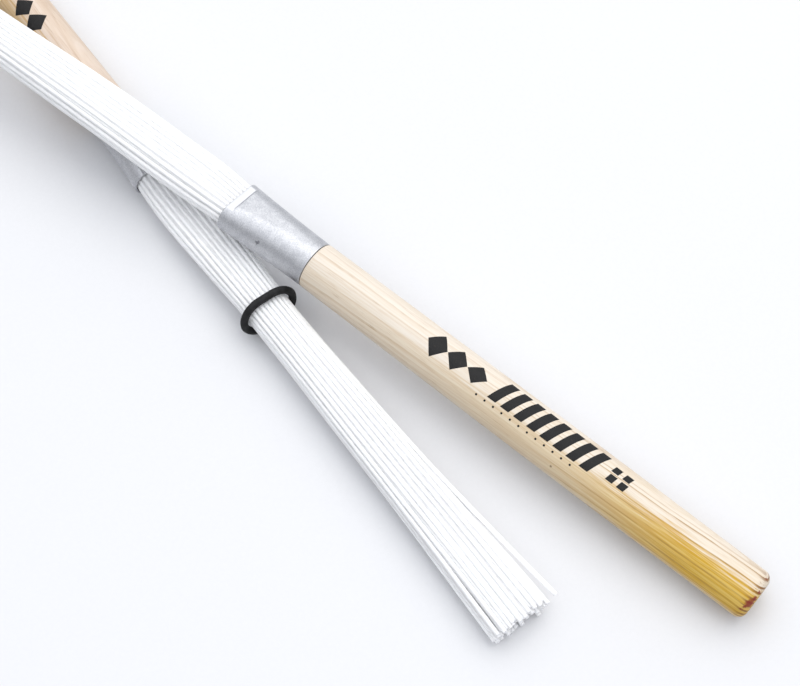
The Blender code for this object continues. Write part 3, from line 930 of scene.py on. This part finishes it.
def aluminium_material():
    """Tumbled aluminium: finely speckled, smoother where the crimping jaws pressed the flats."""
    g = Graph("satin_aluminium")
    place = g.place()
    x, y, z = g.axes(place)
    crimp_start = (MOUTH - CRIMP_WIDTH) / MM
    sideways = g.math("ABSOLUTE", x)
    smooth = g.times(g.rise(z, crimp_start - 0.1, crimp_start + 0.3),
                     g.rise(sideways, 5.0, 6.6, 1.0, 0.0))
    speckle = g.noise(place, 2.9, 4.0, 0.70, 1.0)
    grain = g.noise(place, 7.0, 2.0, 0.6, 6.0)
    dust = g.noise(place, 0.35, 2.0, 0.6, 2.0)
    scratches = g.noise(g.stretched(place, (0.5, 0.5, 7.0)), 1.0, 3.0, 0.6, 4.0)
    rough_part = g.less(1.0, smooth)
    tone = g.sum(g.sum(g.times(speckle, 0.50), g.times(grain, 0.25)),
                 g.sum(g.times(dust, 0.15), g.times(scratches, 0.10)))
    colour = g.mix(g.rise(tone, 0.38, 0.62), (0.44, 0.45, 0.475), (0.68, 0.685, 0.70))
    colour = g.mix(g.times(smooth, 0.75), colour, (0.80, 0.805, 0.82))
    # Painted shade: a thin dark line is drawn along the crimp's step on the flats, where the crease's shade falls.
    step = g.times(g.rise(z, crimp_start - 0.35, crimp_start - 0.05),
                   g.rise(z, crimp_start + 0.05, crimp_start + 0.25, 1.0, 0.0))
    edge = g.times(step, g.rise(sideways, 5.0, 6.2, 1.0, 0.0))
    colour = g.mix(g.times(edge, 0.35), colour, (0.22, 0.22, 0.25))
    half_flat, radius = ferrule_section(NICK_AT[0])
    nick = (half_flat / MM + radius / MM * math.cos(NICK_AT[1]),
            radius / MM * math.sin(NICK_AT[1]), (HANDLE_LENGTH + NICK_AT[0]) / MM)
    chips = g.times(g.noise(place, 1.7, 3.0, 0.7, 8.0), 3.4)
    jagged = g.less(g.distance(place, nick), chips)
    colour = g.mix(g.rise(jagged, -1.35, -0.75, 0.8, 0.0), colour, (0.16, 0.16, 0.18))
    # Painted shade: the ferrule's inner wall is drawn near black, standing in for the shade inside the mouth.
    inside = g.add("Attribute", attribute_name="inside").outputs["Fac"]
    colour = g.mix(g.times(inside, 0.9), colour, (0.035, 0.034, 0.04))
    roughness = g.less(g.rise(tone, 0.38, 0.62, 0.58, 0.48), g.times(smooth, 0.12))
    relief = g.times(g.sum(g.times(speckle, 0.8), g.times(scratches, 0.3)),
                     g.sum(g.times(rough_part, 0.85), 0.15))
    return g.finish(Base_Color=colour, Metallic=1.0, Roughness=roughness,
                    Normal=g.bump(relief, 0.45, 0.00007))


def nylon_material():
    """White drawn nylon: each strand a little different, faint draw lines, and cut ends painted greyer as painted
    shade among the tips.
    """
    g = Graph("white_nylon")
    uv = g.add("UVMap").outputs["UV"]
    shade = g.add("Attribute", attribute_name="shade").outputs["Fac"]
    cut = g.add("Attribute", attribute_name="cut").outputs["Fac"]
    draw = g.noise(g.stretched(uv, (9.0, 1.4, 1.0)), 1.0, 2.0, 0.5, shade)
    cloud = g.noise(g.stretched(uv, (0.6, 5.0, 1.0)), 1.0, 2.0, 0.5, g.times(shade, 30.0))
    colour = g.mix(g.rise(shade, 0.0, 1.0), (0.915, 0.918, 0.930), (0.965, 0.965, 0.970))
    colour = g.mix(g.times(g.rise(cloud, 0.4, 0.75), 0.35), colour, (0.890, 0.894, 0.908))
    # Painted shade: the cut ends are drawn greyer, standing in for the shade among the recessed tips.
    colour = g.mix(g.times(cut, 0.5), colour, (0.62, 0.63, 0.66))
    roughness = g.rise(draw, 0.3, 0.7, 0.26, 0.40)
    return g.finish(Base_Color=colour, Roughness=roughness, Normal=g.bump(draw, 0.08, 0.00003),
                    Subsurface_Weight=0.9, Subsurface_Radius=(1.0, 1.0, 1.0),
                    Subsurface_Scale=0.0013, IOR=1.53)


def rubber_material():
    """Matt black rubber with a fine bloom."""
    g = Graph("black_rubber")
    place = g.place()
    grit = g.noise(place, 4.0, 3.0, 0.65, 1.0)
    bloom = g.noise(place, 0.5, 2.0, 0.5, 2.0)
    colour = g.mix(g.rise(bloom, 0.35, 0.7), (0.008, 0.008, 0.008), (0.018, 0.018, 0.019))
    return g.finish(Base_Color=colour, Roughness=g.rise(grit, 0.3, 0.7, 0.55, 0.74),
                    Normal=g.bump(grit, 0.4, 0.00005), Specular_IOR_Level=0.25)


def resin_material():
    """Amber epoxy with a few clouds where it soaked into the strands' roots."""
    g = Graph("amber_resin")
    place = g.place()
    cloud = g.noise(place, 0.5, 4.0, 0.6, 1.0)
    colour = g.mix(g.rise(cloud, 0.3, 0.7), (0.50, 0.33, 0.10), (0.72, 0.56, 0.28))
    return g.finish(Base_Color=colour, Roughness=g.rise(cloud, 0.3, 0.7, 0.12, 0.3),
                    Coat_Weight=0.3)


def paper_material():
    """A seamless pale sheet with a faint tooth."""
    g = Graph("pale_sheet")
    tooth = g.noise(g.place(), 0.8, 3.0, 0.6, 1.0)
    colour = g.mix(g.rise(tooth, 0.3, 0.7), (0.695, 0.698, 0.708), (0.705, 0.708, 0.718))
    return g.finish(Base_Color=colour, Roughness=0.75, Specular_IOR_Level=0.2)


# ---- studio

def add_area_light(name, size, power, colour, location, target):
    light = bpy.data.lights.new(name, "AREA")
    light.shape = "RECTANGLE"
    light.size = size[0]
    light.size_y = size[1]
    light.energy = power
    light.color = colour
    lamp = bpy.data.objects.new(name, light)
    bpy.context.scene.collection.objects.link(lamp)
    lamp.location = location
    lamp.rotation_euler = (Vector(target) - Vector(location)).to_track_quat("-Z", "Y").to_euler()


def make_floor():
    bm = bmesh.new()
    bmesh.ops.create_grid(bm, x_segments=FLOOR_CELLS, y_segments=FLOOR_CELLS, size=FLOOR_HALF)
    mesh = bpy.data.meshes.new("floor")
    bm.to_mesh(mesh)
    bm.free()
    mesh.materials.append(paper_material())
    floor = bpy.data.objects.new("floor", mesh)
    bpy.context.scene.collection.objects.link(floor)
    floor.location.z = cad_box[0].z


def make_world():
    """Pale surroundings: bright overhead, dimmer towards the horizon."""
    world = bpy.data.worlds.new("studio")
    bpy.context.scene.world = world
    world.use_nodes = True
    nodes = world.node_tree.nodes
    links = world.node_tree.links
    backdrop = nodes["Background"]
    backdrop.inputs["Color"].default_value = SKY_COLOUR
    towards = nodes.new("ShaderNodeVectorMath")
    towards.operation = "DOT_PRODUCT"
    towards.inputs[1].default_value = SKY_AXIS
    links.new(nodes.new("ShaderNodeTexCoord").outputs["Generated"], towards.inputs[0])
    climb = nodes.new("ShaderNodeMapRange")
    climb.interpolation_type = "SMOOTHSTEP"
    links.new(towards.outputs["Value"], climb.inputs["Value"])
    for name, value in zip(("From Min", "From Max", "To Min", "To Max"), SKY_CLIMB):
        climb.inputs[name].default_value = value
    links.new(climb.outputs["Result"], backdrop.inputs["Strength"])


def make_camera():
    """The viewpoint: 63 degrees above the table, with the pair running corner to corner."""
    mouth = brush_frame("lower") @ Vector((0, 0, MOUTH))
    location = Vector((mouth.x + CAMERA_AT[0], mouth.y + CAMERA_AT[1], CAMERA_AT[2]))
    target = Vector((mouth.x + CAMERA_TARGET[0], mouth.y + CAMERA_TARGET[1], 0.0))
    data = bpy.data.cameras.new("camera")
    data.sensor_width = SENSOR_WIDTH
    data.lens = FOCAL_LENGTH
    camera = bpy.data.objects.new("camera", data)
    bpy.context.scene.collection.objects.link(camera)
    camera.location = location
    camera.rotation_euler = (target - location).to_track_quat("-Z", "Y").to_euler()
    bpy.context.scene.camera = camera


# ---- building

def dress_kept_nodes(materials):
    for side in SIDES:
        plug = frame["nodes"][side + "_resin_plug"]
        plug.data.materials.clear()
        plug.data.materials.append(materials["resin"])


def main():
    bpy.context.scene.view_settings.view_transform = "Standard"
    materials = {
        "lower_wood": wood_material("lower_hickory", 11.0, 1.5, -1.0),
        "upper_wood": wood_material("upper_hickory", 0.0, 0.0),
        "ink": ink_material(),
        "aluminium": aluminium_material(),
        "nylon": nylon_material(),
        "rubber": rubber_material(),
        "resin": resin_material(),
    }
    for side in SIDES:
        make_handle(side, materials[side + "_wood"])
        make_printed_mark(side, materials["ink"])
        make_ferrule(side, materials["aluminium"])
        chance = random.Random(STRAND_SEEDS[side])
        make_outer_strands(side, materials["nylon"], chance)
        make_inner_strands(side, materials["nylon"], chance)
        make_ring(side, materials["rubber"])
    dress_kept_nodes(materials)
    make_floor()
    make_world()
    add_area_light("key", KEY_SIZE, KEY_POWER, KEY_COLOUR, KEY_FROM, KEY_TO)
    make_camera()


main()
